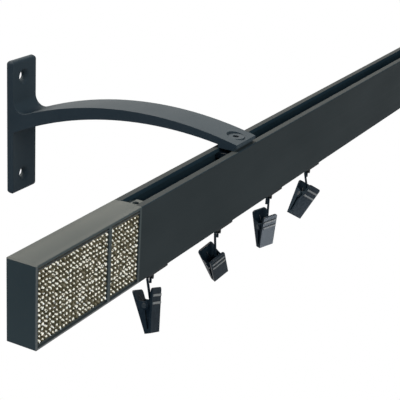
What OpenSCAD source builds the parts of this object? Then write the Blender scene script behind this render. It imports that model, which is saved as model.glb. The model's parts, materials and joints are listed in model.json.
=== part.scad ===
// Clamp-on curtain rail with jewelled end pieces, wall brackets and hanging clips.
// The rail runs along X, the room is at -Y, the wall at +Y, and Z is up.
// The origin lies on the wall, midway between the left bracket's two screw holes.

/* [Rail] */
// Length of the aluminium profile
rail_len = 856; // [760:4:1600]
// Depth of the profile, front to back
rail_d = 14; // [14:0.5:18]
// Height of the profile
rail_h = 35; // [34:0.5:45]
// Thickness of the profile's outer walls
rail_wall = 1.5; // [1:0.1:1.8]
// Radius of the profile's long edges
rail_edge_r = 0.5; // [0.2:0.1:1]
// Width of the clamping slot in the top
top_slot_w = 7.5; // [5:0.5:7.5]
// Thickness of the two lips beside that slot
top_lip_t = 2.2; // [1.8:0.1:2.6]
// Height of the chamber that the clamp nuts run in
nut_chamber_h = 6.5; // [6:0.5:9]
// Width of the runner slot in the bottom
track_slot_w = 5; // [4.6:0.2:6]
// Thickness of the two lips beside that slot
track_lip_t = 2; // [1.5:0.1:2.6]
// Height of the chamber that the gliders run in
track_chamber_h = 9; // [6:0.5:11]
// Thickness of the webs between the chambers
web_t = 1.5; // [1:0.1:2.5]

/* [End pieces] */
// Length of each end piece
finial_len = 72; // [68:1:90]
// Height of the crown over the end piece's top edges
crown_h = 0.9; // [0.6:0.1:2]
// How far the crown falls away at the outer end
crown_fall = 0.7; // [0.3:0.1:1.2]
// Length over which it falls away
fall_run = 6; // [3:0.5:12]
// Radius of the end piece's other outer edges
finial_edge_r = 0.7; // [0.3:0.1:1.2]
// Length of the long jewelled panel
panel_large_len = 46.4; // [30:0.2:48]
// Width of the bar between the two panels
divider_w = 2.1; // [1.5:0.1:4]
// Rim between the short panel and the seam
rim_seam = 1.5; // [1:0.1:3]
// Rim between the outer end and the long panel
rim_end = 1.1; // [0.8:0.1:3]
// Rim under the pockets
rim_bottom = 1; // [0.8:0.1:3]
// Rim over the pockets
rim_top = 1.1; // [0.8:0.1:3]
// Groove left open under each panel
groove_bottom = 1.1; // [0.2:0.1:2]
// Groove left open over each panel
groove_top = 0.8; // [0.2:0.1:2]
// Depth of the pocket that a panel is set in
pocket_depth = 1.2; // [0.8:0.1:2]
// How far the stones stand out of the face
stone_proud = 0.15; // [0:0.05:0.4]
// Wall between a pocket and the hollow behind it
finial_wall = 1.3; // [1:0.1:2]
// Depth of the socket that the joining plug sits in
socket_depth = 20; // [12:1:30]
// Depth of the hollow under the socket
hollow_depth = 62; // [30:1:66]

/* [Joining plugs] */
// Length of plug that reaches into the rail
plug_reach = 8.6; // [8.2:0.1:30]
// Length of the tongue that shows in the top slot
tongue_len = 7.4; // [6:0.1:8]
// Width of the tongue
tongue_w = 3.8; // [3.6:0.1:4]
// How far the tongue lies below the rail's top
tongue_drop = 0.6; // [0.1:0.1:1]
// Diameter of the plug's grub screw
grub_d = 2.8; // [2:0.1:2.8]
// Length of the grub screw
grub_len = 6.4; // [6:0.1:8]
// Distance from the seam to the grub screw
grub_x = 3.6; // [3:0.1:5]

/* [Brackets] */
// Distance from the rail's end to the middle of its bracket
bracket_inset = 97; // [80:1:128]
// Distance from the wall to the middle of the rail
projection = 132; // [128:1:140]
// Width of the bracket, plate and arm alike
bracket_w = 20; // [14:1:26]
// Height of the wall plate
plate_h = 75; // [66:1:85]
// Thickness of the wall plate
plate_t = 4; // [3.5:0.1:6]
// Radius of the wall plate's corners, seen from the front
plate_corner_r = 2.4; // [1:0.1:2.4]
// How far the plate's foot lies below the rail's underside
plate_drop = 19.5; // [10:0.5:24]
// Distance between the two wall screw holes
hole_spacing = 55; // [48:1:58]
// Diameter of the wall screw holes
hole_d = 4.6; // [3.5:0.1:5]
// Diameter of the holes' countersinks
sink_d = 9; // [7:0.1:9.8]
// Radius of both curves of the arm
arm_r = 208.7; // [207:0.1:212]
// Distance from the rail's middle to the crest of the arm's top
crest_y = 41.1; // [39:0.1:43]
// Height of the crest over the rail's top
crest_h = 8.6; // [8:0.1:10]
// Distance from the rail's middle to the crest of the arm's underside
under_crest_y = 33.7; // [32:0.1:35]
// Height of the underside's crest over the rail's top
under_crest_h = 3.7; // [3.2:0.1:4]
// Radius of the fillet between the arm's top and the plate
root_fillet_r = 6; // [4:0.5:8]
// How far the arm's tip reaches past the rail's middle
tip_reach = 5.8; // [5.2:0.1:7]
// Height of the tip's front face
tip_face_h = 1.8; // [1.4:0.1:2.2]
// Front edge of the foot that stands on the rail
foot_front = 4.6; // [4.2:0.1:5]
// Rear edge of the foot
foot_rear = 4.4; // [4:0.1:6]

/* [Clamp screws and nuts] */
// Diameter of the clamp screw's thread
clamp_d = 4; // [3:0.5:4.5]
// Diameter of its countersunk head
head_d = 8.6; // [7:0.1:9]
// Height of the head's straight rim
head_rim = 0.8; // [0.4:0.1:1]
// Height of the head's top over the rail's top
head_top = 4.15; // [4:0.05:4.3]
// Width across the flats of the hexagon socket
hex_af = 3; // [2.5:0.5:3.5]
// Depth of the hexagon socket
hex_depth = 2; // [1:0.1:2.2]
// Length of the clamp nut along the rail
nut_len = 20; // [14:1:30]
// Thickness of the clamp nut
nut_t = 3; // [2.5:0.1:4]

/* [Gliders] */
// Distances from the rail's left end to the gliders' eyes
eye_at = [20.2, 83.4, 141.3, 191.5, 528, 668];
// Length of a glider
glider_len = 17.5; // [14:0.5:18]
// Distance from the glider's left end to its eye
eye_inset = 5.5; // [4:0.1:7]
// Height of the carriage inside the track
carriage_h = 4; // [2.5:0.1:5]
// Height of the shoe under the rail
shoe_h = 4.3; // [3:0.1:6]
// Width of the shoe
shoe_w = 5.8; // [5.4:0.1:8]
// Diameter of the eye's cross bar
eye_bar_d = 1.1; // [0.9:0.1:1.2]

/* [Hooks] */
// Diameter of the hook's wire
wire_d = 1.2; // [1:0.05:1.3]
// Radius of the bend that hangs on the eye
bend_r = 1.35; // [1.3:0.05:1.6]
// Length of the hook's free end
free_end = 3.5; // [2:0.1:5]
// Radius of the ring round the clip's pin
ring_r = 1.65; // [1.6:0.05:1.75]
// Place of each ring along its clip's pin, from the clip's middle
ring_at = [0.6, 1.7, 1.7, 1.7, 1.2, 1.2];
// Side that each free end is on
free_side = [1, 1, -1, 1, -1, 1];

/* [Clips] */
// Distances from the rail's left end to the clips' pins
pin_at = [21, 83.3, 140.3, 191.7, 529.5, 666.5];
// Depth of each pin below the rail's underside
pin_drop = [21.2, 22.3, 22.3, 21.9, 21.5, 21.5];
// How far each clip is turned about the vertical, in degrees
clip_yaw = [2, -29, -27, -30, -12, 15];
// How far each clip leans along the rail, in degrees
clip_roll = [19.5, -30, -7, 31, 6, -9];
// How far each clip tips towards the wall, in degrees
clip_pitch = [-21, 14.5, 2, -2.5, -3, 2];
// Width of a clip
clip_w = 9; // [7.8:0.1:10]
// Height of a clip's handles over its pin
handle_h = 7.5; // [6:0.1:8]
// Length of its jaws below the pin
jaw_h = 12.5; // [10:0.1:14]
// Distance from the pin to a jaw's outer face
jaw_out = 3.9; // [3.7:0.1:4.2]
// Lean of each jaw plate, as a slope
jaw_slope = 0.195; // [0.17:0.005:0.21]
// Thickness of a jaw plate
jaw_t = 1; // [0.8:0.05:1.1]
// Thickness of a jaw's side cheeks
cheek_t = 0.6; // [0.5:0.05:0.6]
// Gap between the two pairs of cheeks
cheek_gap = 0.2; // [0.1:0.05:0.2]
// Radius of the cheeks round the pin
cheek_r = 1.9; // [1.6:0.1:2]
// Height of the gripping lips
lip_h = 2; // [1:0.1:3]
// Diameter of the hinge pin
pin_d = 1.4; // [1.2:0.05:1.4]
// Diameter of the pin's riveted heads
pin_head_d = 2.4; // [2:0.1:3]
// Thickness of the pin's heads
pin_head_t = 0.35; // [0.2:0.05:0.5]
// Distance between the two ribs on the front jaw
rib_pitch = 3.4; // [2.8:0.1:3.6]
// Height of one rib
rib_h = 1; // [0.6:0.1:1.1]
// How far a rib stands out
rib_out = 0.45; // [0.3:0.05:0.6]

/* [Clip springs] */
// Diameter of the spring wire
spring_wire = 0.36; // [0.3:0.02:0.36]
// Mean radius of the spring's curls
spring_r = 1.25; // [1.2:0.05:1.3]
// Distance from one curl to the next
spring_pitch = 0.8; // [0.78:0.01:0.82]
// Number of curls in the spring
spring_turns = 3; // [2:1:3]

/* [Hidden] */

$fn = 64;
// Clearance of a sliding fit on each side
slide_gap = 0.2;
// Clearance of a close fit on each side
close_gap = 0.05;
// Small overlap that keeps cuts clean
eps = 0.01;

// Whole length of the rod, and the place of its bracket from its end
rod_len = rail_len + 2 * finial_len;
bracket_x = finial_len + bracket_inset;
// Height of the origin over the rail's underside
mount_z = plate_h / 2 - plate_drop;

// Heights inside the rail, from its underside
nut_roof_z = rail_h - top_lip_t;
nut_floor_z = nut_roof_z - nut_chamber_h;
track_roof_z = track_lip_t + track_chamber_h;
chamber_w = rail_d - 2 * rail_wall;
lip_w = (rail_d - top_slot_w) / 2;

// Joining plug, from the rail's middle line
plug_w = chamber_w - 2 * slide_gap;
socket_w = rail_d - 2 * (pocket_depth + finial_wall);
plug_top_z = nut_roof_z - slide_gap;
plug_bottom_z = nut_floor_z + slide_gap;
tongue_front = top_slot_w / 2 - slide_gap;
grub_y = -tongue_front + tongue_w / 2;

// Panels, from the end piece's outer end
pocket_h = rail_h - rim_top - rim_bottom;
panel_h = pocket_h - groove_top - groove_bottom;
panel_small_x = rim_end + panel_large_len + divider_w;
panel_small_len = finial_len - panel_small_x - rim_seam;
panel_gap = 0.1;

// Bracket profile
plate_front_y = projection - plate_t;
corner_over = 0.3;
under_tip_z = rail_h + tip_top_over_rail() - tip_face_h;
fillet_y = plate_front_y - root_fillet_r;
fillet_z = rail_h + crest_h - arm_r
    + sqrt(pow(arm_r + root_fillet_r, 2) - pow(fillet_y - crest_y, 2));
seat_z = rail_h + head_top - head_rim;
head_cone_h = (head_d - clamp_d) / 2;
head_gap = 0.3;
shank_end_z = nut_floor_z + 2;

// Glider heights, from the rail's underside
carriage_z = track_lip_t;
shoe_z = -slide_gap - shoe_h;
eye_z = shoe_z - slide_gap - wire_d / 2 - bend_r;
eye_leg_w = 1.2;
eye_half_gap = wire_d / 2 + 0.35;

// Clip hinge
cheek_in = clip_w / 2 - 2 * cheek_t - cheek_gap;
spring_x = 0.2 + spring_wire / 2 - cheek_in;
spring_leg = [3.6, 5];
rib_z = 0.1;

// Finishes
anodised = "#2d3236";
coated = "#2b3338";
steel = "#3a3f42";
stones = "#b8b2a2";
moulded = "#1b1f22";

function tip_top_over_rail() =
    crest_h - arm_r + sqrt(pow(arm_r, 2) - pow(tip_reach + crest_y, 2));
function jaw_outer(z) = jaw_out + jaw_slope * z;
function jaw_inner(z) = jaw_outer(z) - jaw_t * sqrt(1 + jaw_slope * jaw_slope);
function turned(v, a) = rot_z(rot_y(rot_x(v, a[0]), a[1]), a[2]);
function rot_x(v, a) = [v[0], v[1] * cos(a) - v[2] * sin(a), v[1] * sin(a) + v[2] * cos(a)];
function rot_y(v, a) = [v[0] * cos(a) + v[2] * sin(a), v[1], v[2] * cos(a) - v[0] * sin(a)];
function rot_z(v, a) = [v[0] * cos(a) - v[1] * sin(a), v[0] * sin(a) + v[1] * cos(a), v[2]];
function unit(v) = v / norm(v);

// Moves children from the rod's own frame to the part's frame.
// The rod's frame starts at its left end, on its middle line, at its underside.
module on_rod() {
    translate([-bracket_x, -projection, -mount_z]) children();
}

// Stands a Y-Z profile up and draws it out along the rod
module along_rod(x, length) {
    translate([x, 0, 0]) rotate([90, 0, 90]) linear_extrude(length) children();
}

// Mirrors children to the rod's right end
module at_end(side) {
    if (side == "left") children();
    else translate([rod_len, 0, 0]) mirror([1, 0, 0]) children();
}

// Rectangle with round corners, centred on its first axis
module rounded_rect(w, h, r) {
    translate([-w / 2 + r, 0]) square([w - 2 * r, h]);
    translate([-w / 2, r]) square([w, h - 2 * r]);
    for (x = [-w / 2 + r, w / 2 - r], y = [r, h - r]) translate([x, y]) circle(r);
}

module rail_profile() {
    difference() {
        rounded_rect(rail_d, rail_h, rail_edge_r);
        translate([-chamber_w / 2, nut_floor_z]) square([chamber_w, nut_chamber_h]);
        translate([-top_slot_w / 2, nut_roof_z - eps]) square([top_slot_w, top_lip_t + 2 * eps]);
        translate([-chamber_w / 2, track_roof_z + web_t])
            square([chamber_w, nut_floor_z - track_roof_z - 2 * web_t]);
        translate([-chamber_w / 2, track_lip_t]) square([chamber_w, track_chamber_h]);
        translate([-track_slot_w / 2, -eps]) square([track_slot_w, track_lip_t + 2 * eps]);
    }
}

module rail() {
    color(anodised) on_rod() along_rod(finial_len, rail_len) rail_profile();
}

// Section of an end piece: the rail's outline under a low crown
module finial_profile() {
    crown_r = (pow(rail_d / 2, 2) + pow(crown_h, 2)) / (2 * crown_h);
    rounded_rect(rail_d, rail_h, rail_edge_r);
    intersection() {
        translate([0, rail_h - rail_edge_r + crown_h - crown_r]) circle(crown_r, $fn = 128);
        translate([-rail_d / 2, rail_h / 2]) square([rail_d, rail_h]);
    }
}

// Front view of an end piece, drawn as long again past the seam
module finial_side() {
    top_z = rail_h - rail_edge_r + crown_h;
    fall_r = (pow(fall_run, 2) + pow(crown_fall, 2)) / (2 * crown_fall);
    rounded_rect(2 * finial_len, rail_h / 2 + finial_edge_r, finial_edge_r);
    translate([fall_run - finial_len, rail_h / 2]) square([2 * finial_len - fall_run, top_z - rail_h / 2]);
    intersection() {
        translate([fall_run - finial_len, top_z - fall_r]) circle(fall_r, $fn = 360);
        translate([-finial_len, rail_h / 2]) square([fall_run + eps, rail_h]);
    }
}

module finial_body(side) {
    color(coated) on_rod() at_end(side) difference() {
        intersection() {
            along_rod(0, finial_len) finial_profile();
            translate([finial_len, 0, 0]) rotate([90, 0, 0]) translate([0, 0, -rail_d])
                linear_extrude(2 * rail_d) finial_side();
            translate([finial_len, -rail_d / 2, -eps])
                linear_extrude(rail_h + crown_h + eps) rounded_rect(2 * finial_len, rail_d, finial_edge_r);
        }
        for (p = [[rim_end, panel_large_len], [panel_small_x, panel_small_len]])
            translate([p[0], -rail_d / 2 - eps, rim_bottom]) cube([p[1], pocket_depth + eps, pocket_h]);
        translate([finial_len - socket_depth, -socket_w / 2, plug_bottom_z - close_gap])
            cube([socket_depth + eps, socket_w, plug_top_z - plug_bottom_z + 2 * close_gap]);
        translate([finial_len - hollow_depth, -socket_w / 2, rail_wall + 1])
            cube([hollow_depth + eps, socket_w, plug_bottom_z - 2 * rail_wall - 1]);
    }
}

// Jewelled panel: its backing and the field of stones on it
module crystal_panel(side, x, length) {
    color(stones) on_rod() at_end(side)
        translate([x + panel_gap, -rail_d / 2 - stone_proud, rim_bottom + groove_bottom])
            cube([length - 2 * panel_gap, pocket_depth + stone_proud, panel_h]);
}

module joining_plug(side) {
    color(steel) on_rod() at_end(side) difference() {
        union() {
            translate([finial_len, -plug_w / 2, plug_bottom_z])
                cube([plug_reach, plug_w, plug_top_z - plug_bottom_z]);
            translate([finial_len - socket_depth + slide_gap, -socket_w / 2 + close_gap, plug_bottom_z])
                cube([socket_depth, socket_w - 2 * close_gap, plug_top_z - plug_bottom_z]);
            translate([finial_len, -tongue_front, plug_top_z - eps])
                cube([tongue_len, tongue_w, rail_h - tongue_drop - plug_top_z + eps]);
        }
        translate([finial_len + grub_x, grub_y, plug_bottom_z - 1])
            cylinder(h = rail_h, d = grub_d + 2 * close_gap);
    }
}

module grub_screw(side) {
    socket_af = grub_d / 2;
    color(steel) on_rod() at_end(side) translate([finial_len + grub_x, grub_y, nut_floor_z]) difference() {
        cylinder(h = grub_len, d = grub_d);
        translate([0, 0, grub_len - socket_af])
            cylinder(h = socket_af + eps, d = socket_af / cos(30), $fn = 6);
    }
}

// Side view of a bracket: the wall plate, the arched arm and the foot on the rail
module bracket_profile() {
    plate_r = plate_t / 2;
    translate([projection - plate_r, 0]) rounded_plate(plate_r);
    difference() {
        intersection() {
            translate([crest_y, rail_h + crest_h - arm_r]) circle(arm_r, $fn = 360);
            translate([-tip_reach, 0]) square([plate_front_y + plate_r + tip_reach, 2 * rail_h]);
        }
        translate([under_crest_y, rail_h + under_crest_h - arm_r]) circle(arm_r, $fn = 360);
        translate([-tip_reach - 1, 0]) square([tip_reach + 1 - foot_front, under_tip_z]);
    }
    translate([-foot_front, rail_h]) square([foot_front + foot_rear, under_tip_z - rail_h + 0.6]);
    root_fillet();
}

module rounded_plate(r) {
    translate([-r, r - plate_drop]) square([2 * r, plate_h - 2 * r]);
    for (z = [r - plate_drop, plate_h - plate_drop - r]) translate([0, z]) circle(r);
}

// Concave fillet where the arm's top meets the plate
module root_fillet() {
    share = arm_r / (arm_r + root_fillet_r);
    centre_z = rail_h + crest_h - arm_r;
    touch = [crest_y + (fillet_y - crest_y) * share, centre_z + (fillet_z - centre_z) * share];
    difference() {
        polygon([touch, [plate_front_y + eps, touch[1] - root_fillet_r], [plate_front_y + eps, fillet_z],
            [fillet_y, fillet_z]]);
        translate([fillet_y, fillet_z]) circle(root_fillet_r);
    }
}

// Front view of the wall plate, drawn a little taller, so that its corners cross the plate's round edges
module plate_outline() {
    translate([0, -plate_drop - corner_over])
        rounded_rect(bracket_w, plate_h + 2 * corner_over, plate_corner_r);
}

module bracket(side) {
    color(coated) on_rod() at_end(side) difference() {
        intersection() {
            along_rod(bracket_x - bracket_w, 2 * bracket_w) bracket_profile();
            translate([bracket_x, projection + 1, 0]) rotate([90, 0, 0])
                linear_extrude(projection + tip_reach + 2) plate_outline();
        }
        for (dz = [-1, 1]) translate([bracket_x, projection, mount_z + dz * hole_spacing / 2]) {
            rotate([90, 0, 0]) translate([0, 0, -1]) cylinder(h = plate_t + 2, d = hole_d);
            rotate([90, 0, 0]) translate([0, 0, plate_t - (sink_d - hole_d) / 2])
                cylinder(h = (sink_d - hole_d) / 2 + eps, d1 = hole_d, d2 = sink_d + 2 * eps);
        }
        translate([bracket_x, 0, 0]) {
            translate([0, 0, rail_h - 1]) cylinder(h = head_top, d = clamp_d + 2 * slide_gap);
            translate([0, 0, seat_z]) cylinder(h = rail_h, d = head_d + 2 * head_gap);
            translate([0, 0, seat_z - head_cone_h])
                cylinder(h = head_cone_h, d1 = clamp_d + 2 * close_gap, d2 = head_d + 2 * close_gap);
        }
    }
}

module clamp_screw(side) {
    color(steel) on_rod() at_end(side) translate([bracket_x, 0, 0]) difference() {
        union() {
            translate([0, 0, shank_end_z]) cylinder(h = seat_z - shank_end_z, d = clamp_d);
            translate([0, 0, seat_z - head_cone_h]) cylinder(h = head_cone_h, d1 = clamp_d, d2 = head_d);
            translate([0, 0, seat_z]) cylinder(h = head_rim, d = head_d);
        }
        translate([0, 0, seat_z + head_rim - hex_depth])
            cylinder(h = hex_depth + eps, d = hex_af / cos(30), $fn = 6);
    }
}

module clamp_nut(side) {
    color(steel) on_rod() at_end(side) translate([bracket_x, 0, nut_roof_z]) difference() {
        translate([-nut_len / 2, -plug_w / 2, -nut_t]) cube([nut_len, plug_w, nut_t]);
        translate([0, 0, -nut_t - 1]) cylinder(h = nut_t + 2, d = clamp_d + 2 * close_gap);
    }
}

// Glider: a carriage in the track, a shoe under the rail and an eye for the hook
module glider(i) {
    mid_x = glider_len / 2 - eye_inset;
    color(moulded) on_rod() translate([finial_len + eye_at[i], 0, 0]) {
        translate([mid_x, 0, carriage_z]) glider_block(chamber_w - 6 * slide_gap, carriage_h);
        translate([mid_x, 0, shoe_z + eps]) glider_block(track_slot_w - 4 * slide_gap, carriage_z - shoe_z);
        translate([mid_x, 0, shoe_z]) glider_block(shoe_w, shoe_h);
        for (s = [-1, 1])
            translate([-eye_leg_w / 2, s * (eye_half_gap + eye_leg_w / 2) - eye_leg_w / 2, eye_z])
                cube([eye_leg_w, eye_leg_w, shoe_z - eye_z + eps]);
        translate([0, 0, eye_z]) rotate([90, 0, 0])
            cylinder(h = 2 * (eye_half_gap + eye_leg_w), d = eye_bar_d, center = true);
    }
}

module glider_block(w, h) {
    translate([0, -w / 2, 0]) linear_extrude(h) rounded_rect(glider_len, w, 1.2);
}

// Wire hook: a bend over the eye's bar, a straight strand and a ring round the clip's pin
module hook(i) {
    eye = [finial_len + eye_at[i], 0, eye_z];
    side = free_side[i];
    pin = [finial_len + pin_at[i], 0, -pin_drop[i]];
    lean = [0, clip_roll[i], clip_yaw[i]];
    strand_top = eye + [-side * bend_r, 0, -1];
    bead = pin + turned([ring_at[i], 0, ring_r + 0.5], lean);
    strand_foot = pin + turned([ring_at[i], 0, ring_r + wire_d / 2 + 0.02], lean);
    color(moulded) on_rod() {
        translate(eye) rotate([90, 0, 0]) rotate_extrude(angle = 180) translate([bend_r, 0])
            circle(d = wire_d, $fn = 24);
        strand(eye + [side * bend_r, 0, 0], eye + [side * bend_r, 0, -free_end]);
        strand(eye + [-side * bend_r, 0, 0], strand_top);
        translate(strand_top) sphere(wire_d / 2 + 0.02, $fn = 24);
        strand(strand_top, strand_foot);
        translate(bead) sphere(wire_d / 2 + 0.15, $fn = 24);
        translate(pin) rotate(lean) translate([ring_at[i], 0, 0]) rotate([0, 90, 0])
            rotate_extrude() translate([ring_r, 0]) circle(d = wire_d, $fn = 24);
    }
}

// Straight round wire between two points
module strand(from, to) {
    v = to - from;
    translate(from) rotate([0, acos(v[2] / norm(v)), atan2(v[1], v[0])])
        cylinder(h = norm(v), d = wire_d, $fn = 24);
}

// Puts a clip's own frame on its pin: X along the pin, -Y to the front, Z to the handles
module at_clip(i) {
    on_rod() translate([finial_len + pin_at[i], 0, -pin_drop[i]])
        rotate([clip_pitch[i], clip_roll[i], clip_yaw[i]]) children();
}

// Draws a Y-Z profile out along the pin, from x0 to x1
module across_clip(x0, x1) {
    translate([x0, 0, 0]) rotate([90, 0, 90]) linear_extrude(x1 - x0) children();
}

// Jaw in its own half, on +Y, with a pair of cheeks that start at cheek_x
module jaw(cheek_x, bore_d) {
    r = 1.4;
    difference() {
        union() {
            intersection() {
                across_clip(-clip_w / 2, clip_w / 2) jaw_plate_profile();
                rotate([90, 0, 0]) translate([0, 0, -2 * jaw_out]) linear_extrude(4 * jaw_out)
                    translate([0, -jaw_h]) jaw_outline(r);
            }
            for (s = [-1, 1]) {
                x = s > 0 ? cheek_x : -cheek_x - cheek_t;
                across_clip(x, x + cheek_t) cheek_profile();
            }
        }
        rotate([0, 90, 0]) cylinder(h = 2 * clip_w, d = bore_d, center = true);
    }
}

// Front view of a jaw plate, with round corners at the handle
module jaw_outline(r) {
    w = clip_w;
    translate([-w / 2, 0]) square([w, jaw_h + handle_h - r]);
    translate([-w / 2 + r, jaw_h]) square([w - 2 * r, handle_h]);
    for (x = [-w / 2 + r, w / 2 - r]) translate([x, jaw_h + handle_h - r]) circle(r);
}

module jaw_plate_profile() {
    polygon([[jaw_outer(-jaw_h), -jaw_h], [jaw_outer(handle_h), handle_h], [jaw_inner(handle_h), handle_h],
        [jaw_inner(lip_h - jaw_h), lip_h - jaw_h], [close_gap, lip_h - jaw_h], [close_gap, -jaw_h]]);
}

// Side cheek, from the gripping lips up to the pin
module cheek_profile() {
    top_z = cheek_r + 1.3;
    polygon([[jaw_outer(-jaw_h) - jaw_t / 2, -jaw_h], [2 * close_gap, -jaw_h],
        [2 * close_gap, -cheek_r - 0.6], [0, -cheek_r], [0, cheek_r],
        [jaw_inner(top_z) + jaw_t / 2, top_z]]);
    circle(cheek_r);
}

module rear_jaw(i) {
    color(moulded) at_clip(i) jaw(clip_w / 2 - cheek_t, pin_d + 2 * close_gap);
}

module front_jaw(i) {
    color(moulded) at_clip(i) mirror([0, 1, 0]) {
        jaw(cheek_in, pin_d + 4 * close_gap);
        for (k = [0, 1])
            across_clip(0.5 - clip_w / 2, clip_w / 2 - 0.5) rib_profile(rib_z + k * rib_pitch);
    }
}

// Section of a rib that starts at height z and stands out of the jaw's outer face
module rib_profile(z) {
    top = z + rib_h;
    polygon([[jaw_inner(z) + jaw_t / 2, z], [jaw_outer(z) + rib_out, z],
        [jaw_outer(top) + rib_out, top], [jaw_inner(top) + jaw_t / 2, top]]);
}

module hinge_pin(i) {
    color(steel) at_clip(i) rotate([0, 90, 0]) {
        cylinder(h = clip_w + 2 * eps, d = pin_d, center = true);
        for (s = [-1, 1]) translate([0, 0, s * (clip_w + pin_head_t) / 2])
            cylinder(h = pin_head_t, d = pin_head_d, center = true);
    }
}

// Torsion spring: a leg on each handle and the curls between them on the pin
leg_angle = acos(spring_r / norm(spring_leg));
leg_dir = atan2(spring_leg[1], spring_leg[0]);
curl_from = 180 - leg_dir + leg_angle;
curl_to = leg_dir - leg_angle + 360;
curl_sweep = curl_to - curl_from + 360 * (spring_turns - 1);
curl_steps = ceil(8 * curl_sweep / 360);
function on_curl(t) = let (a = curl_from + t * curl_sweep)
    [spring_x + spring_pitch * t * curl_sweep / 360, spring_r * cos(a), spring_r * sin(a)];
spring_start = [spring_x, -spring_leg[0], spring_leg[1]];
spring_end = [spring_x + spring_pitch * curl_sweep / 360, spring_leg[0], spring_leg[1]];
spring_path = concat([spring_start, (spring_start + on_curl(0)) / 2],
    [for (k = [0:curl_steps]) on_curl(k / curl_steps)],
    [(spring_end + on_curl(1)) / 2, spring_end]);

// Least gap between two stretches of the spring that are half a turn or more apart
function least_gap(path, d, apart) = min([for (a = [0:len(path) - 1], b = [0:len(path) - 1])
    if (b - a >= apart) norm(path[b] - path[a])]) - d;
echo(spring_least_gap = least_gap(spring_path, spring_wire, 5));

// Sweeps a six-sided ring along a path, with its first side turned to the pin's direction
module tube(path, d) {
    sides = 6;
    n = len(path);
    rings = [for (k = [0:n - 1])
        let (t = unit(path[min(k + 1, n - 1)] - path[max(k - 1, 0)]),
            u = unit([1, 0, 0] - t[0] * t),
            v = cross(t, u))
        [for (s = [0:sides - 1]) path[k] + d / 2 * (u * cos(360 * s / sides) + v * sin(360 * s / sides))]];
    points = [for (ring = rings, p = ring) p];
    walls = [for (k = [0:n - 2], s = [0:sides - 1])
        let (a = k * sides + s, b = k * sides + (s + 1) % sides)
        each [[a, a + sides, b], [b, a + sides, b + sides]]];
    first = [for (s = [1:sides - 2]) [0, s, s + 1]];
    last = [for (s = [1:sides - 2]) [(n - 1) * sides, (n - 1) * sides + s + 1, (n - 1) * sides + s]];
    polyhedron(points, concat(walls, first, last));
}

module spring(i) {
    color("silver") at_clip(i) tube(spring_path, spring_wire);
}

rail();
for (side = ["left", "right"]) {
    finial_body(side);
    crystal_panel(side, rim_end, panel_large_len);
    crystal_panel(side, panel_small_x, panel_small_len);
    joining_plug(side);
    grub_screw(side);
    bracket(side);
    clamp_screw(side);
    clamp_nut(side);
}
for (i = [0:len(eye_at) - 1]) {
    glider(i);
    hook(i);
    rear_jaw(i);
    front_jaw(i);
    hinge_pin(i);
    spring(i);
}
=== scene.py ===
"""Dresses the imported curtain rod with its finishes, stones, wires and springs, and sets up the studio."""
import json
import math

import bmesh
import bpy
from bpy.props import FloatProperty, FloatVectorProperty, IntProperty, PointerProperty, StringProperty
from bpy.types import Operator, Panel, PropertyGroup
from mathutils import Matrix, Vector

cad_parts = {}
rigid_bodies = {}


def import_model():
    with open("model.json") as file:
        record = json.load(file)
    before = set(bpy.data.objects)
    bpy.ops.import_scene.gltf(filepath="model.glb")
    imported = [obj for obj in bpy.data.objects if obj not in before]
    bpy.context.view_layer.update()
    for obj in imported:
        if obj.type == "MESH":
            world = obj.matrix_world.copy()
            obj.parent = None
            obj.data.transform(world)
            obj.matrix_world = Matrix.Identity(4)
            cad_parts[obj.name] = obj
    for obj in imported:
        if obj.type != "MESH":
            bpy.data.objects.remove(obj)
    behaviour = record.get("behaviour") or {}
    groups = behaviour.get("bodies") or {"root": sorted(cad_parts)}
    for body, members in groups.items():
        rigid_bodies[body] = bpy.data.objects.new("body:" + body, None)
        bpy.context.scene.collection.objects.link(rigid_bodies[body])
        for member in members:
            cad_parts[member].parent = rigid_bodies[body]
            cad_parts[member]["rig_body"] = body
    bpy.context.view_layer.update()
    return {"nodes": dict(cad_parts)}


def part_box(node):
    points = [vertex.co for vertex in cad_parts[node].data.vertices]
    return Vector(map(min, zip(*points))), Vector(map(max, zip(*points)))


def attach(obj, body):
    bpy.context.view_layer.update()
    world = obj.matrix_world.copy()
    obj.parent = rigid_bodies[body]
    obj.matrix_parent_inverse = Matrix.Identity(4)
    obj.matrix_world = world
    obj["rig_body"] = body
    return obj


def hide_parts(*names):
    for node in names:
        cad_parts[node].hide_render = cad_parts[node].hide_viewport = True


bl_info = {
    "name": "Jewelled curtain rod",
    "version": (1, 0, 0),
    "blender": (4, 5, 0),
    "location": "View3D > Sidebar > Curtain rod",
    "description": "Finishes a clamp-on curtain rod with stones, wire hooks and springs",
    "category": "Object",
}

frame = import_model()
NODES = frame["nodes"]
CLIPS = (1, 2, 3, 4, 5, 6)
SIDES = ("left", "right")
MM = 0.001
# Width of the broken edges on each kind of piece
EXTRUDED_EDGE = 0.15 * MM
CAST_EDGE = 0.15 * MM
PRESSED_EDGE = 0.1 * MM
MOULDED_EDGE = 0.12 * MM
CLAMP_SCREW_EDGE = 0.12 * MM
SMALL_PIN_EDGE = 0.08 * MM
NUT_EDGE = 0.2 * MM
TRAY_EDGE = 0.1 * MM
# Corners sharper than this many degrees are edges: on most pieces, on the arched arms and on bent wire
EDGE_ANGLE = 30
ARCH_ANGLE = 50
WIRE_ANGLE = 60
# Points of a CAD mesh that lie closer than this are one point
SAME_POINT = 0.002 * MM
# Faces of a CAD mesh that meet within this many degrees are joined: on flat pieces and on round wire
FLAT_ANGLE = 1
ROUND_ANGLE = 40
# A face less than this off a surface counts as part of it
SKIN = 0.1 * MM
# How far a clamp screw's socket reaches from its middle, and down into its head
SOCKET_REACH = 2.2 * MM
# Faces of an end piece with a normal below this along Y belong to its front
FRONT_NORMAL_Y = -0.35
# Direction that a stone's bright facets face, in its own frame: X along the rod, Y up, Z out of the panel.
# Facets are painted lighter the more they face it, as if lit from there: a painted highlight and shade
LIT_FROM = (-0.20, 0.62, 0.76)
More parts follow.
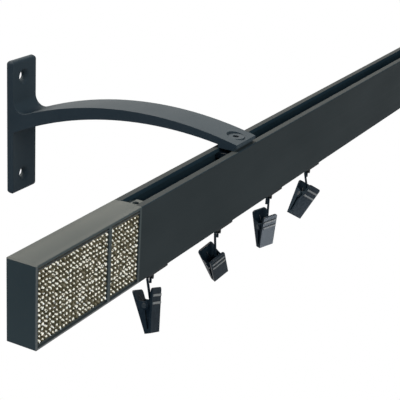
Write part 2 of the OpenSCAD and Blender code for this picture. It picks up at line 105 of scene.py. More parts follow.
# Shape of a stone: shares of its height below and above the waist, and of its radius at the waist and top
LOWER_SHARE = 0.55
UPPER_SHARE = 0.45
WAIST_SHARE = 0.78
TOP_SHARE = 0.36
# Share of its tray's depth that a stone fills, so that a leaning one stays inside
STONE_FILL = 0.96
# Largest turn of a stone about its own axis, in radians
STONE_TURN = 0.35
# Shades of the facets between dark and bright, each with the facet value that it begins at: painted
# reflections and shade
FACET_SHADES = ((0.60, "#2F2A1D"), (0.76, "#58533F"), (0.90, "#7A7563"))
BRIGHT_FROM = 0.955
# How far the lip over the stones stands back from the front of its tray
LIP_INSET = 0.1 * MM
# Softboxes: name, place, point that they face, size, power and colour
SOFTBOXES = (
    ("top softbox", (0.1, 0.85, 1.3), (0.1, -0.1, 0), 1.0, 99, "#FFE1CA"),
    ("back softbox", (1.6, 0.8, 0.9), (0.0, -0.1, 0.03), 1.8, 8, "#FFF1DE"),
    ("front softbox", (-0.2, -1.3, 0.75), (0.0, -0.1, 0), 0.8, 14.4, "#FFEEDA"),
    ("left softbox", (-1.6, -0.3, 0.1), (-0.4, -0.1, 0), 0.8, 2.0, "#8AD6F2"),
)
# Shows only as a gleam, on glossy faces that lean towards it
GLINT = ("low glint", (0.15, -0.39, -0.28), (0.043, -0.132, -0.04), 0.1, 1.25, "#EAF4FF")
# Soft light from all round, which the camera doesn't see
FILL_COLOUR = "#A2DCFF"
FILL_STRENGTH = 0.50
# Half the side of the square floor, in metres
FLOOR_HALF = 4.0
# Camera: width of its sensor in millimetres, and the nearest distance that it sees in metres
SENSOR_WIDTH = 36.0
NEAREST_SEEN = 0.01
# Darkest and brightest shade of the spring wire and of the mesh behind the stones
SPRING_SHADES = ("#34373A", "#4C4F52")
SETTING_SHADES = ("#1E1B12", "#6B6348")


def linear(code):
    """Linear colour of an sRGB hex code."""
    parts = [int(code[i:i + 2], 16) / 255 for i in (1, 3, 5)]
    return tuple(c / 12.92 if c <= 0.04045 else ((c + 0.055) / 1.055) ** 2.4 for c in parts) + (1.0,)


class RodSizes(PropertyGroup):
    """Sizes of the pieces that are made here."""

    stone_pitch: FloatProperty(
        name="Stone pitch", description="Distance between neighbouring stones",
        default=2.2 * MM, unit="LENGTH")
    stone_rise: FloatProperty(
        name="Stone height", description="How far a stone stands on its backing",
        default=1.0 * MM, unit="LENGTH")
    stone_sides: IntProperty(
        name="Stone sides", description="Facets round one stone", default=8, min=5, max=12)
    stone_tilt: FloatProperty(
        name="Stone tilt", description="Largest lean of a stone in its setting",
        default=math.radians(7), subtype="ANGLE")
    stone_play: FloatProperty(
        name="Stone play", description="How much a facet's brightness strays from what its angle gives",
        default=0.08)
    stone_margin: FloatProperty(
        name="Stone margin", description="Bare strip of the tray over the stones",
        default=0.8 * MM, unit="LENGTH")
    lip: FloatProperty(
        name="Tray lip", description="Height of the lip along the top of a stone tray",
        default=0.4 * MM, unit="LENGTH")
    foot_rim: FloatProperty(
        name="Foot rim", description="Height of the lightened rim along the foot of an end piece's front, a painted highlight",
        default=1.0 * MM, unit="LENGTH")
    end_rim: FloatProperty(
        name="End rim", description="Width of the lightened rim at the outer end of an end piece's front, a painted highlight",
        default=0.6 * MM, unit="LENGTH")
    edge: FloatProperty(
        name="Broken edge", description="Width of the bevel on cast and coated edges",
        default=0.35 * MM, unit="LENGTH")


class RodFinishes(PropertyGroup):
    """Colours of the finishes, as sRGB hex codes."""

    rail: StringProperty(name="Rail", description="Anodised rail", default="#293033")
    # Darker, bluer rail colour for the faces inside its chambers: painted shade
    rail_inside_shade: StringProperty(
        name="Rail inside", description="Rail inside its chambers", default="#1F2F39")
    coat: StringProperty(name="Coat", description="Powder coat", default="#3F4749")
    # Darker, bluer copy of the coat for the brackets: painted shade with a painted bluish cast of light
    shaded_bracket_coat: StringProperty(
        name="Bracket coat", description="Powder coat of the brackets, darkened and blued as painted shade", default="#2F3940")
    # Lighter coat on the front rims of the end pieces: a painted highlight
    rim_highlight: StringProperty(name="Rim highlight", description="Rims of the end pieces lightened as a painted highlight", default="#5C5F60")
    # Light colour of the tray lips: a painted highlight along the top of each stone tray
    lip: StringProperty(name="Tray lip", description="Lip over the stones, lightened as a painted highlight", default="#4E5152")
    steel: StringProperty(name="Steel", description="Blackened steel", default="#232C33")
    lacquer: StringProperty(name="Lacquer", description="Lacquered clip metal", default="#16212A")
    # Light colour of the clip ribs: a painted highlight on their edges
    rib_highlight: StringProperty(name="Rib highlight", description="Ribs lightened as a painted highlight", default="#727577")
    plastic: StringProperty(name="Plastic", description="Moulded glider", default="#15181A")
    # Colours of the brightest and darkest facets: painted reflection and shade
    facet_highlight: StringProperty(name="Bright facets", description="Bright stone facets", default="#FFFCF0")
    facet_shade: StringProperty(name="Dark facets", description="Dark stone facets", default="#100E08")
    floor: StringProperty(name="Floor", description="Studio floor", default="#8C8C8C")


class StudioSettings(PropertyGroup):
    """Camera and floor."""

    eye: FloatVectorProperty(
        name="Camera", description="Place of the camera",
        default=(-0.4629, -0.3587, 0.1898), subtype="TRANSLATION")
    lens: FloatProperty(name="Lens", description="Focal length in millimetres", default=100.09)
    floor_drop: FloatProperty(
        name="Floor drop", description="Height of the rod over the floor", default=0.32, unit="LENGTH")


def add(tree, kind, settings=None, links=None):
    """Adds a node, sets its properties or socket values and links sockets to its inputs."""
    node = tree.nodes.new(kind)
    for key, value in (settings or {}).items():
        if isinstance(key, str) and hasattr(node, key):
            setattr(node, key, value)
        else:
            node.inputs[key].default_value = value
    for key, socket in (links or {}).items():
        tree.links.new(socket, node.inputs[key])
    return node


def new_material(name):
    """Material with its shader and output joined. Returns the material, its tree and the shader."""
    material = bpy.data.materials.new(name)
    material.use_nodes = True
    tree = material.node_tree
    tree.nodes.clear()
    shader = add(tree, "ShaderNodeBsdfPrincipled")
    add(tree, "ShaderNodeOutputMaterial", links={"Surface": shader.outputs["BSDF"]})
    return material, tree, shader


def place_of(tree, scale, centre=(0, 0, 0)):
    """Object coordinates, scaled on each axis. A scale is in cycles to the metre."""
    coords = add(tree, "ShaderNodeTexCoord")
    mapping = add(tree, "ShaderNodeMapping", {"Scale": scale, "Location": centre},
                  {"Vector": coords.outputs["Object"]})
    return mapping.outputs["Vector"]


def tinted(tree, shader, noise, low, high, spread=(0.35, 0.65)):
    """Colours the shader between two hex codes by a noise."""
    ramp = add(tree, "ShaderNodeValToRGB", links={"Fac": noise})
    ramp.color_ramp.elements[0].position = spread[0]
    ramp.color_ramp.elements[1].position = spread[1]
    ramp.color_ramp.elements[0].color = linear(low)
    ramp.color_ramp.elements[1].color = linear(high)
    tree.links.new(ramp.outputs["Color"], shader.inputs["Base Color"])


def ranged(tree, shader, socket, noise, low, high):
    """Lets a noise move a socket of the shader between two values."""
    spread = add(tree, "ShaderNodeMapRange", {"To Min": low, "To Max": high}, {"Value": noise})
    tree.links.new(spread.outputs["Result"], shader.inputs[socket])


def bumped(tree, shader, noise, depth, strength):
    """Raises the surface by a noise. The depth is in metres."""
    bump = add(tree, "ShaderNodeBump", {"Strength": strength, "Distance": depth}, {"Height": noise})
    tree.links.new(bump.outputs["Normal"], shader.inputs["Normal"])


def shifted(code, amount):
    """Hex code made lighter or darker by a share of full scale."""
    parts = [min(255, max(0, round(int(code[i:i + 2], 16) + 255 * amount))) for i in (1, 3, 5)]
    return "#%02X%02X%02X" % tuple(parts)


def anodised_aluminium(name, code):
    """Extruded aluminium, dark anodised: satin, with faint die lines along the rail."""
    material, tree, shader = new_material(name)
    shader.inputs["Specular IOR Level"].default_value = 0.01
    # Die lines are about 0.3 mm apart on the real rail; here they are 1.2 mm, so that they show
    lines = add(tree, "ShaderNodeTexNoise", {"Scale": 1.0, "Detail": 3.0, "Roughness": 0.6},
                {"Vector": place_of(tree, (6, 800, 800))})
    # Clouds in the dye, about 70 mm long and 30 mm high
    clouds = add(tree, "ShaderNodeTexNoise", {"Scale": 1.0, "Detail": 2.0},
                 {"Vector": place_of(tree, (14, 30, 30), (0.4, 0, 0))})
    tinted(tree, shader, clouds.outputs["Fac"], shifted(code, -0.01), shifted(code, 0.012))
    ranged(tree, shader, "Roughness", lines.outputs["Fac"], low=0.40, high=0.52)
    bumped(tree, shader, lines.outputs["Fac"], depth=0.02 * MM, strength=0.35)
    return material


def powder_coat(name, code):
    """Cast zinc under a satin powder coat: very faint orange peel."""
    material, tree, shader = new_material(name)
    shader.inputs["Specular IOR Level"].default_value = 0.02
    # Orange peel, 0.8 mm from crest to crest
    peel = add(tree, "ShaderNodeTexNoise", {"Scale": 1.0, "Detail": 2.0},
               {"Vector": place_of(tree, (1200, 1200, 1200))})
    # Faint clouds in the coat, 40 mm wide
    clouds = add(tree, "ShaderNodeTexNoise", {"Scale": 1.0, "Detail": 2.0},
                 {"Vector": place_of(tree, (25, 25, 25))})
    tinted(tree, shader, clouds.outputs["Fac"], shifted(code, -0.008), shifted(code, 0.012))
    ranged(tree, shader, "Roughness", peel.outputs["Fac"], low=0.54, high=0.62)
    bumped(tree, shader, peel.outputs["Fac"], depth=0.01 * MM, strength=0.2)
    return material


def blackened_steel():
    """Turned and blackened steel: darker in the grain, with a faint metal gleam."""
    finishes = bpy.context.scene.rod_finishes
    material, tree, shader = new_material("blackened steel, turned")
    shader.inputs["Metallic"].default_value = 0.2
    shader.inputs["Specular IOR Level"].default_value = 0.1
    # Turning marks are about 0.1 mm apart on a real screw; here they are 0.3 mm, so that they show
    grain = add(tree, "ShaderNodeTexNoise", {"Scale": 1.0, "Detail": 4.0},
                {"Vector": place_of(tree, (900, 900, 3000))})
    tinted(tree, shader, grain.outputs["Fac"], shifted(finishes.steel, -0.03), shifted(finishes.steel, 0.03))
    ranged(tree, shader, "Roughness", grain.outputs["Fac"], low=0.34, high=0.5)
    return material


def lacquered_steel(name, code, roughness, gloss):
    """Steel under lacquer: smooth and rather glossy, with a slight waviness."""
    material, tree, shader = new_material(name)
    shader.inputs["Specular IOR Level"].default_value = gloss
    # Waves in the lacquer, 2.4 mm from crest to crest
    waves = add(tree, "ShaderNodeTexNoise", {"Scale": 1.0, "Detail": 2.0},
                {"Vector": place_of(tree, (420, 420, 420))})
    tinted(tree, shader, waves.outputs["Fac"], shifted(code, -0.01), shifted(code, 0.02))
    ranged(tree, shader, "Roughness", waves.outputs["Fac"], low=roughness, high=roughness + 0.12)
    bumped(tree, shader, waves.outputs["Fac"], depth=0.04 * MM, strength=0.3)
    return material


def moulded_acetal():
    """Injection-moulded acetal: dull, with a fine spark-eroded grain."""
    finishes = bpy.context.scene.rod_finishes
    material, tree, shader = new_material("moulded acetal, black")
    shader.inputs["Specular IOR Level"].default_value = 0.05
    # The mould's grain is about 0.05 mm on a real glider; here it is 0.4 mm, so that it shows
    grain = add(tree, "ShaderNodeTexNoise", {"Scale": 1.0, "Detail": 3.0},
                {"Vector": place_of(tree, (2500, 2500, 2500))})
    tinted(tree, shader, grain.outputs["Fac"],
           shifted(finishes.plastic, -0.01), shifted(finishes.plastic, 0.015))
    ranged(tree, shader, "Roughness", grain.outputs["Fac"], low=0.45, high=0.6)
    bumped(tree, shader, grain.outputs["Fac"], depth=0.02 * MM, strength=0.4)
    return material


def spring_steel():
    """Drawn spring wire: darkened metal with faint drawing marks."""
    material, tree, shader = new_material("drawn spring steel")
    shader.inputs["Metallic"].default_value = 1.0
    # Marks 0.3 mm long, a little less than the wire's thickness
    marks = add(tree, "ShaderNodeTexNoise", {"Scale": 1.0, "Detail": 2.0},
                {"Vector": place_of(tree, (3000, 3000, 3000))})
    tinted(tree, shader, marks.outputs["Fac"], *SPRING_SHADES)
    ranged(tree, shader, "Roughness", marks.outputs["Fac"], low=0.25, high=0.4)
    return material


def foiled_glass():
    """Cut glass with a foiled back: each facet is painted light or dark by the way it faces, a painted
    reflection and shade.
    """
    finishes = bpy.context.scene.rod_finishes
    material, tree, shader = new_material("cut glass, foiled, with painted facet reflections")
    shader.inputs["Roughness"].default_value = 0.08
    shader.inputs["Specular IOR Level"].default_value = 0.05
    facet = add(tree, "ShaderNodeAttribute", {"attribute_name": "facet"})
    ramp = add(tree, "ShaderNodeValToRGB", links={"Fac": facet.outputs["Fac"]})
    ramp.color_ramp.interpolation = "CONSTANT"
    stops = ((0.0, finishes.facet_shade), *FACET_SHADES, (BRIGHT_FROM, finishes.facet_highlight))
    for position, code in stops[2:]:
        ramp.color_ramp.elements.new(position).color = linear(code)
    for element, (position, code) in zip(ramp.color_ramp.elements, stops):
        element.position = position
        element.color = linear(code)
    tree.links.new(ramp.outputs["Color"], shader.inputs["Base Color"])
    return material


def stone_backing():
    """Plated mesh that the stones are set in: dull champagne in the hollows, brighter on its knots."""
    material, tree, shader = new_material("champagne plated stone setting")
    shader.inputs["Metallic"].default_value = 0.5
    # Knots of the mesh, 1.1 mm apart, which is half the pitch of the stones
    knots = add(tree, "ShaderNodeTexNoise", {"Scale": 1.0, "Detail": 2.0},
                {"Vector": place_of(tree, (900, 900, 900))})
    tinted(tree, shader, knots.outputs["Fac"], *SETTING_SHADES)
    ranged(tree, shader, "Roughness", knots.outputs["Fac"], low=0.3, high=0.5)
    return material


def paint(obj, material):
    """Gives an object one material."""
    obj.data.materials.clear()
    obj.data.materials.append(material)


def dressed_copy(node, material, edge=0.0, angle=EDGE_ANGLE, rounds=0):
    """Copy of a CAD node with joined faces and broken or rounded edges, which stands for the node."""
    source = NODES[node]
    mesh = source.data.copy()
    work = bmesh.new()
    work.from_mesh(mesh)
    bmesh.ops.remove_doubles(work, verts=work.verts, dist=SAME_POINT)
    if rounds:
        bmesh.ops.join_triangles(work, faces=work.faces, angle_face_threshold=math.radians(ROUND_ANGLE),
                                 angle_shape_threshold=math.radians(ROUND_ANGLE))
    else:
        bmesh.ops.dissolve_limit(work, angle_limit=math.radians(FLAT_ANGLE), verts=work.verts,
                                 edges=work.edges)
    work.to_mesh(mesh)
    work.free()
    piece = bpy.data.objects.new(node + ".dressed", mesh)
    bpy.context.scene.collection.objects.link(piece)
    paint(piece, material)
    if edge:
        bevel = piece.modifiers.new("broken edges", "BEVEL")
        bevel.width = edge
        bevel.segments = 2
        bevel.limit_method = "ANGLE"
        bevel.angle_limit = math.radians(angle)
    mesh.shade_smooth()
    if rounds:
        piece.modifiers.new("round wire", "SUBSURF").levels = rounds
    else:
        smooth = piece.modifiers.new("even normals", "WEIGHTED_NORMAL")
        smooth.keep_sharp = True
        mesh.set_sharp_from_angle(angle=math.radians(angle))
    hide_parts(node)
    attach(piece, source["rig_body"])
    return piece


def stone_tree(material):
    """Node tree that sets rows of cut stones on a flat panel."""
    tree = bpy.data.node_groups.new("stones in rows", "GeometryNodeTree")
    tree.interface.new_socket("Geometry", in_out="OUTPUT", socket_type="NodeSocketGeometry")
    for name, kind in (("Length", "Float"), ("Height", "Float"), ("Columns", "Int"), ("Rows", "Int"),
                       ("Radius", "Float"), ("Rise", "Float"), ("Sides", "Int"), ("Tilt", "Float"),
                       ("Play", "Float"), ("Seed", "Int")):
        tree.interface.new_socket(name, in_out="INPUT", socket_type="NodeSocket" + kind)
    tree.interface.new_socket("Centre", in_out="INPUT", socket_type="NodeSocketVector")
    given = add(tree, "NodeGroupInput").outputs
    grid = add(tree, "GeometryNodeMeshGrid", links={
        "Size X": given["Length"], "Size Y": given["Height"],
        "Vertices X": given["Columns"], "Vertices Y": given["Rows"]})
    parts = ((LOWER_SHARE, "Rise"), (UPPER_SHARE, "Rise"), (WAIST_SHARE, "Radius"), (TOP_SHARE, "Radius"))
    below, above, waist, top = (
        add(tree, "ShaderNodeMath", {"operation": "MULTIPLY", 1: part}, {0: given[size]}).outputs[0]
        for part, size in parts)
    lower = add(tree, "GeometryNodeMeshCone", {"fill_type": "NONE"}, {
        "Vertices": given["Sides"], "Radius Top": waist, "Radius Bottom": given["Radius"], "Depth": below})
    upper = add(tree, "GeometryNodeMeshCone", {"fill_type": "NGON"}, {
        "Vertices": given["Sides"], "Radius Top": top, "Radius Bottom": waist, "Depth": above})
    lift = add(tree, "ShaderNodeCombineXYZ", links={"Z": below})
    raised = add(tree, "GeometryNodeTransform", links={
        "Geometry": upper.outputs["Mesh"], "Translation": lift.outputs[0]})
    stone = add(tree, "GeometryNodeJoinGeometry", links={"Geometry": lower.outputs["Mesh"]})
    tree.links.new(raised.outputs["Geometry"], stone.inputs["Geometry"])
    # Each facet's brightness is painted by how far it faces LIT_FROM: a painted highlight and shade
    facing = add(tree, "ShaderNodeVectorMath", {"operation": "DOT_PRODUCT", 1: LIT_FROM}, {
        0: add(tree, "GeometryNodeInputNormal").outputs["Normal"]})
    share = add(tree, "ShaderNodeMath", {"operation": "MULTIPLY_ADD", 1: 0.5, 2: 0.5},
                {0: facing.outputs["Value"]})
    graded = add(tree, "GeometryNodeStoreNamedAttribute",
                 {"data_type": "FLOAT", "domain": "FACE", "Name": "facet"},
                 {"Geometry": stone.outputs["Geometry"], "Value": share.outputs[0]})
    low_tilt = add(tree, "ShaderNodeMath", {"operation": "MULTIPLY", 1: -1.0}, {0: given["Tilt"]}).outputs[0]
    least = add(tree, "ShaderNodeCombineXYZ", links={"X": low_tilt, "Y": low_tilt})
    most = add(tree, "ShaderNodeCombineXYZ", {"Z": STONE_TURN}, {"X": given["Tilt"], "Y": given["Tilt"]})
    turn = add(tree, "FunctionNodeRandomValue", {"data_type": "FLOAT_VECTOR"}, {
        0: least.outputs[0], 1: most.outputs[0], "Seed": given["Seed"]})
    placed = add(tree, "GeometryNodeInstanceOnPoints", links={
        "Points": grid.outputs["Mesh"], "Instance": graded.outputs["Geometry"], "Rotation": turn.outputs[0]})
    real = add(tree, "GeometryNodeRealizeInstances", links={"Geometry": placed.outputs["Instances"]})
    less = add(tree, "ShaderNodeMath", {"operation": "MULTIPLY", 1: -1.0}, {0: given["Play"]}).outputs[0]
    stray = add(tree, "FunctionNodeRandomValue", {"data_type": "FLOAT"}, {
        2: less, 3: given["Play"], "Seed": given["Seed"]})
    kept = add(tree, "GeometryNodeInputNamedAttribute", {"data_type": "FLOAT", "Name": "facet"})
    value = add(tree, "ShaderNodeMath", {"operation": "ADD"},
                {0: kept.outputs["Attribute"], 1: stray.outputs[1]})
    named = add(tree, "GeometryNodeStoreNamedAttribute",
                {"data_type": "FLOAT", "domain": "FACE", "Name": "facet"},
                {"Geometry": real.outputs["Geometry"], "Value": value.outputs[0]})
    stood = add(tree, "GeometryNodeTransform", {"Rotation": (math.pi / 2, 0, 0)}, {
        "Geometry": named.outputs["Geometry"], "Translation": given["Centre"]})
    solid = add(tree, "GeometryNodeSetMaterial", {"Material": material},
                {"Geometry": stood.outputs["Geometry"]})
    add(tree, "NodeGroupOutput", links={"Geometry": solid.outputs["Geometry"]})
    return tree


def made_mesh(name, tree, values):
    """Runs a node tree with these inputs and returns its result as a plain mesh."""
    holder = bpy.data.objects.new(name, bpy.data.meshes.new(name + " holder"))
    bpy.context.scene.collection.objects.link(holder)
    modifier = holder.modifiers.new("pattern", "NODES")
    modifier.node_group = tree
    for item in tree.interface.items_tree:
        if item.item_type == "SOCKET" and item.in_out == "INPUT" and item.name in values:
            modifier[item.identifier] = values[item.name]
    seen = holder.evaluated_get(bpy.context.evaluated_depsgraph_get())
    mesh = bpy.data.meshes.new_from_object(seen)
    bpy.data.objects.remove(holder)
    mesh.name = name
    return mesh


class ROD_OT_stage(Operator):
    """Sets the floor, the pale surroundings, the lamps and the camera"""

    bl_idname = "rod.stage"
    bl_label = "Studio"

    def execute(self, context):
        scene = context.scene
        studio = scene.rod_studio
        scene.view_settings.view_transform = "Standard"
        self.surroundings(scene)
        self.floor(scene, studio)
        for lamp in SOFTBOXES:
            self.softbox(*lamp)
        glint = self.softbox(*GLINT)
        glint.visible_diffuse = False
        glint.visible_camera = False
        self.camera(scene, studio)
        return {"FINISHED"}

    def surroundings(self, scene):
        """White all round to the camera and in reflections, and a plain soft light elsewhere"""
        world = bpy.data.worlds.new("pale studio")
        scene.world = world
        world.use_nodes = True
        tree = world.node_tree
        tree.nodes.clear()
        shown = add(tree, "ShaderNodeBackground", {"Color": (1, 1, 1, 1), "Strength": 1.0})
        light = add(tree, "ShaderNodeBackground", {"Color": linear(FILL_COLOUR), "Strength": FILL_STRENGTH})
        mixed = add(tree, "ShaderNodeMixShader", links={
            0: self.seen(tree), 1: light.outputs[0], 2: shown.outputs[0]})
        add(tree, "ShaderNodeOutputWorld", links={"Surface": mixed.outputs[0]})

    def seen(self, tree):
        """One where the camera, a mirror or a clear body looks straight at this surface"""
        path = add(tree, "ShaderNodeLightPath")
        either = add(tree, "ShaderNodeMath", {"operation": "MAXIMUM"}, {
            0: path.outputs["Is Camera Ray"], 1: path.outputs["Is Glossy Ray"]})
        return add(tree, "ShaderNodeMath", {"operation": "MAXIMUM"}, {
            0: either.outputs[0], 1: path.outputs["Is Transmission Ray"]}).outputs[0]

    def floor(self, scene, studio):
        """Pale floor that keeps the object's shadow"""
        mesh = bpy.data.meshes.new("floor")
        z = -studio.floor_drop
        corners = [(FLOOR_HALF * x, FLOOR_HALF * y, z) for x, y in ((-1, -1), (1, -1), (1, 1), (-1, 1))]
        mesh.from_pydata(corners, [], [(0, 1, 2, 3)])
        floor = bpy.data.objects.new("floor", mesh)
        scene.collection.objects.link(floor)
        material, tree, shader = new_material("matt paper sweep")
        # Seamless paper: matt, so it takes the soft shadow and gives no mirror image
        # Its grain is too fine to show; here it is faint clouds, 27 mm wide
        grain = add(tree, "ShaderNodeTexNoise", {"Scale": 300.0, "Detail": 2.0})
        code = scene.rod_finishes.floor
        tinted(tree, shader, grain.outputs["Fac"], shifted(code, -0.01), shifted(code, 0.01))
        shader.inputs["Roughness"].default_value = 0.9
        shader.inputs["Specular IOR Level"].default_value = 0.1
        white = add(tree, "ShaderNodeEmission", {"Color": (1, 1, 1, 1), "Strength": 1.0})
        mixed = add(tree, "ShaderNodeMixShader", links={
            0: self.seen(tree), 1: shader.outputs[0], 2: white.outputs[0]})
        output = next(n for n in tree.nodes if n.type == "OUTPUT_MATERIAL")
        tree.links.new(mixed.outputs[0], output.inputs["Surface"])
        paint(floor, material)

    def softbox(self, name, place, aim, size, power, code):
        """Square lamp that faces a point. Returns its object"""
        lamp = bpy.data.lights.new(name, "AREA")
        lamp.size = size
        lamp.energy = power
        lamp.color = linear(code)[:3]
        holder = bpy.data.objects.new(name, lamp)
        holder.location = place
        holder.rotation_euler = (Vector(aim) - Vector(place)).to_track_quat("-Z", "Y").to_euler()
        bpy.context.scene.collection.objects.link(holder)
        return holder

    def camera(self, scene, studio):
        """Camera at the photograph's place and angle"""
        camera = bpy.data.cameras.new("camera")
        camera.sensor_width = SENSOR_WIDTH
        camera.sensor_fit = "HORIZONTAL"
        camera.lens = studio.lens
        camera.clip_start = NEAREST_SEEN
        holder = bpy.data.objects.new("camera", camera)
        # Unit vectors of the picture: to the right, up, and back towards the eye
        right = Vector((0.4864, -0.8717, 0.0598))
        up = Vector((0.2938, 0.2277, 0.9284))
        up = (up - right * up.dot(right) / right.length_squared).normalized()
        right.normalize()
        back = right.cross(up)
        turn = Matrix((right, up, back)).transposed().to_4x4()
        holder.matrix_world = Matrix.Translation(studio.eye) @ turn
        scene.collection.objects.link(holder)
        scene.camera = holder


class ROD_OT_rail(Operator):
    """Finishes the extruded rail"""

    bl_idname = "rod.rail"
    bl_label = "Rail"

    def execute(self, context):
        finishes = context.scene.rod_finishes
        outside = anodised_aluminium("anodised aluminium, extruded", finishes.rail)
        rail = dressed_copy("rail", outside, EXTRUDED_EDGE)
        # Painted shade: the faces inside the rail's chambers get a darker, bluer copy of the anodised finish
        inside = anodised_aluminium("anodised aluminium, painted shade inside the rail", finishes.rail_inside_shade)
        rail.data.materials.append(inside)
        low, high = (Vector(corner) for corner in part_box("rail"))
        for face in rail.data.polygons:
            within_depth = low.y + SKIN < face.center.y < high.y - SKIN
            within_height = low.z + SKIN < face.center.z < high.z - SKIN
            if within_depth and within_height:
                face.material_index = 1
        return {"FINISHED"}


class ROD_OT_end_pieces(Operator):
    """Finishes the end pieces, their joining plugs and grub screws"""

    bl_idname = "rod.end_pieces"
    bl_label = "End pieces"

    def execute(self, context):
        finishes = context.scene.rod_finishes
        coat = powder_coat("satin powder coat on cast zinc", finishes.coat)
        # Lighter copy of the coat for the front rims at the foot and outer end: a painted highlight
        rim_highlight = powder_coat("powder coat lightened on the rims as a painted highlight", finishes.rim_highlight)
        steel = blackened_steel()
        for side in SIDES:
            body = dressed_copy(side + "_finial_body", coat, CAST_EDGE)
            self.highlight_rims(body, side, context.scene.rod_sizes)
            body.data.materials.append(rim_highlight)
            dressed_copy(side + "_joining_plug", coat, CAST_EDGE)
            dressed_copy(side + "_grub_screw", steel, SMALL_PIN_EDGE)
        return {"FINISHED"}

    def highlight_rims(self, body, side, sizes):
        """Gives the front rim at the foot and at the outer end the lighter coat, a painted highlight"""
        low, high = (Vector(corner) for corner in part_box(side + "_finial_body"))
        foot = low.z + sizes.foot_rim
        outer = low.x + sizes.end_rim if side == "left" else high.x - sizes.end_rim
        work = bmesh.new()
        work.from_mesh(body.data)
        for point, normal in (((0, 0, foot), (0, 0, 1)), ((outer, 0, 0), (1, 0, 0))):
            bmesh.ops.bisect_plane(work, geom=work.verts[:] + work.edges[:] + work.faces[:],
                                   plane_co=point, plane_no=normal)
        for face in work.faces:
            centre = face.calc_center_median()
            at_end = centre.x < outer if side == "left" else centre.x > outer
            if face.normal.y < FRONT_NORMAL_Y and (centre.z < foot or at_end):
                face.material_index = 1
        work.to_mesh(body.data)
        work.free()


class ROD_OT_crystal_panels(Operator):
    """Sets the rows of cut stones on the end pieces"""

    bl_idname = "rod.crystal_panels"
    bl_label = "Crystal panels"

    def execute(self, context):
        sizes = context.scene.rod_sizes
        backing = stone_backing()
        # Light coat on the tray lips: a painted highlight along the top of each tray
        lip_highlight = powder_coat("powder coat rubbed on the tray lips", context.scene.rod_finishes.lip)
        tree = stone_tree(foiled_glass())
        panels = [f"{side}_crystal_panel_{size}" for side in SIDES for size in ("large", "small")]
        for seed, node in enumerate(panels):
            low, high = (Vector(corner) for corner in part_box(node))
            length, height = high.x - low.x, high.z - low.z - sizes.stone_margin
            columns = max(2, round(length / sizes.stone_pitch))
            rows = max(2, round(height / sizes.stone_pitch))
            pitch_x, pitch_z = length / columns, height / rows
            radius = min(pitch_x, pitch_z) / 2
            base_y = low.y + sizes.stone_rise
            mesh = made_mesh(node + ".stones", tree, {
                "Length": length - pitch_x, "Height": height - pitch_z, "Columns": columns, "Rows": rows,
                "Radius": radius, "Rise": sizes.stone_rise * STONE_FILL, "Sides": sizes.stone_sides,
                "Tilt": sizes.stone_tilt, "Play": sizes.stone_play, "Seed": seed,
                "Centre": ((low.x + high.x) / 2, base_y, low.z + height / 2)})
            stones = bpy.data.objects.new(node + ".stones", mesh)
            context.scene.collection.objects.link(stones)
            plate = self.slab(node + ".plate", (low.x, base_y, low.z), high)
            lip_low = (low.x, low.y + LIP_INSET, high.z - sizes.lip)
            lip = self.slab(node + ".lip", lip_low, (high.x, base_y, high.z))
            paint(plate, backing)
            paint(lip, lip_highlight)
            for piece in (stones, plate, lip):
                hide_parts(node)
                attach(piece, "rod")
        return {"FINISHED"}

    def slab(self, name, low, high):
        """Box between two corners, with broken edges"""
        work = bmesh.new()
        bmesh.ops.create_cube(work, size=1.0)
        size = Vector(high) - Vector(low)
        centre = (Vector(high) + Vector(low)) / 2
        bmesh.ops.scale(work, vec=size, verts=work.verts)
        bmesh.ops.translate(work, vec=centre, verts=work.verts)
        bmesh.ops.bevel(work, geom=work.edges[:], offset=TRAY_EDGE, segments=1, affect="EDGES")
        mesh = bpy.data.meshes.new(name)
        work.to_mesh(mesh)
        work.free()
        piece = bpy.data.objects.new(name, mesh)
        bpy.context.scene.collection.objects.link(piece)
        return piece


class ROD_OT_brackets(Operator):
    """Finishes the brackets, clamp screws and clamp nuts"""

    bl_idname = "rod.brackets"
    bl_label = "Brackets"

    def execute(self, context):
        sizes = context.scene.rod_sizes
        # The brackets' coat is darker and bluer than the end pieces': painted shade with a painted bluish
        # cast of light
        coat = powder_coat("satin powder coat on the brackets, with painted shade", context.scene.rod_finishes.shaded_bracket_coat)
        steel = blackened_steel()
        for side in SIDES:
            dressed_copy(side + "_bracket", coat, sizes.edge, angle=ARCH_ANGLE)
            screw = dressed_copy(side + "_clamp_screw", coat, CLAMP_SCREW_EDGE)
            screw.data.materials.append(steel)
            # The socket's darker steel is painted shade in the hollow
            self.shade_socket(screw.data, side)
            dressed_copy(side + "_clamp_nut", steel, NUT_EDGE)
        return {"FINISHED"}

    def shade_socket(self, mesh, side):
        """Gives a screw's hexagon socket the darker steel finish: painted shade in the hollow"""
        low, high = (Vector(corner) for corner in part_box(side + "_clamp_screw"))
        middle = (low + high) / 2
        for face in mesh.polygons:
            near_axis = (face.center.xy - middle.xy).length < SOCKET_REACH
            in_head = high.z - SOCKET_REACH < face.center.z < high.z - SKIN
            if near_axis and in_head:
                face.material_index = 1


class ROD_OT_gliders(Operator):
    """Finishes the moulded gliders"""

    bl_idname = "rod.gliders"
    bl_label = "Gliders"

    def execute(self, context):
        acetal = moulded_acetal()
        for n in CLIPS:
            dressed_copy(f"glider_{n}", acetal, MOULDED_EDGE)
        return {"FINISHED"}


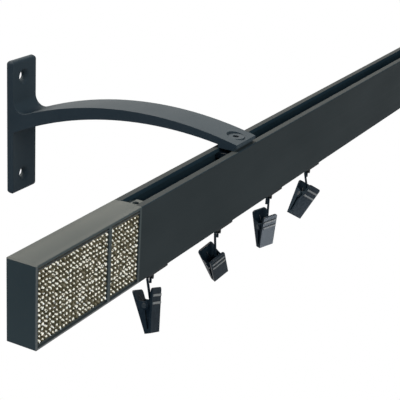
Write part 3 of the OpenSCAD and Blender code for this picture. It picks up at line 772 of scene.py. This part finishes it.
class ROD_OT_clips(Operator):
    """Finishes the jaws, hinge pins, hooks and springs of the clips"""

    bl_idname = "rod.clips"
    bl_label = "Clips"

    def execute(self, context):
        finishes = context.scene.rod_finishes
        jaws = lacquered_steel("black lacquer on pressed steel", finishes.lacquer, roughness=0.18, gloss=0.02)
        # Lighter lacquer on the ribs: a painted highlight
        rib_highlight_finish = lacquered_steel("lacquer lightened on the ribs as a painted highlight", finishes.rib_highlight, roughness=0.3, gloss=0.04)
        wire = lacquered_steel("black lacquer on drawn wire", finishes.lacquer, roughness=0.34, gloss=0.02)
        pins = blackened_steel()
        spring = spring_steel()
        for n in CLIPS:
            dressed_copy(f"rear_jaw_{n}", jaws, PRESSED_EDGE)
            front = dressed_copy(f"front_jaw_{n}", jaws, PRESSED_EDGE)
            front.data.materials.append(rib_highlight_finish)
            low, high = (Vector(corner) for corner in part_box(f"hinge_pin_{n}"))
            self.highlight_ribs(front.data, (low + high) / 2)
            dressed_copy(f"hinge_pin_{n}", pins, SMALL_PIN_EDGE)
            dressed_copy(f"hook_{n}", wire, angle=WIRE_ANGLE)
            dressed_copy(f"spring_{n}", spring, rounds=1)
        return {"FINISHED"}

    def highlight_ribs(self, mesh, pin):
        """Gives the lighter finish, a painted highlight, to the faces that stand out of the jaw's outer face
        """
        outward = [face for face in mesh.polygons if (face.center - pin).dot(face.normal) > 0]
        plate = max(outward, key=lambda face: face.area)
        for face in mesh.polygons:
            if (face.center - plate.center).dot(plate.normal) > SKIN:
                face.material_index = 1


class ROD_PT_panel(Panel):
    """Lists the rod's pieces and their sizes"""

    bl_idname = "ROD_PT_panel"
    bl_label = "Curtain rod"
    bl_space_type = "VIEW_3D"
    bl_region_type = "UI"
    bl_category = "Curtain rod"

    def draw(self, context):
        scene = context.scene
        for group in (scene.rod_sizes, scene.rod_finishes, scene.rod_studio):
            box = self.layout.box()
            for name in group.__annotations__:
                box.prop(group, name)
        for operator in OPERATORS:
            self.layout.operator(operator.bl_idname)


OPERATORS = (ROD_OT_rail, ROD_OT_end_pieces, ROD_OT_crystal_panels, ROD_OT_brackets, ROD_OT_gliders,
             ROD_OT_clips, ROD_OT_stage)
GROUPS = (("rod_sizes", RodSizes), ("rod_finishes", RodFinishes), ("rod_studio", StudioSettings))


def register():
    for name, group in GROUPS:
        bpy.utils.register_class(group)
        setattr(bpy.types.Scene, name, PointerProperty(type=group))
    for operator in OPERATORS:
        bpy.utils.register_class(operator)
    bpy.utils.register_class(ROD_PT_panel)


def unregister():
    bpy.utils.unregister_class(ROD_PT_panel)
    for operator in reversed(OPERATORS):
        bpy.utils.unregister_class(operator)
    for name, group in reversed(GROUPS):
        delattr(bpy.types.Scene, name)
        bpy.utils.unregister_class(group)


def main():
    """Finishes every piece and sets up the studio."""
    register()
    bpy.ops.rod.rail()
    bpy.ops.rod.end_pieces()
    bpy.ops.rod.crystal_panels()
    bpy.ops.rod.brackets()
    bpy.ops.rod.gliders()
    bpy.ops.rod.clips()
    bpy.ops.rod.stage()
    bpy.context.view_layer.update()


if __name__ == "__main__":
    main()
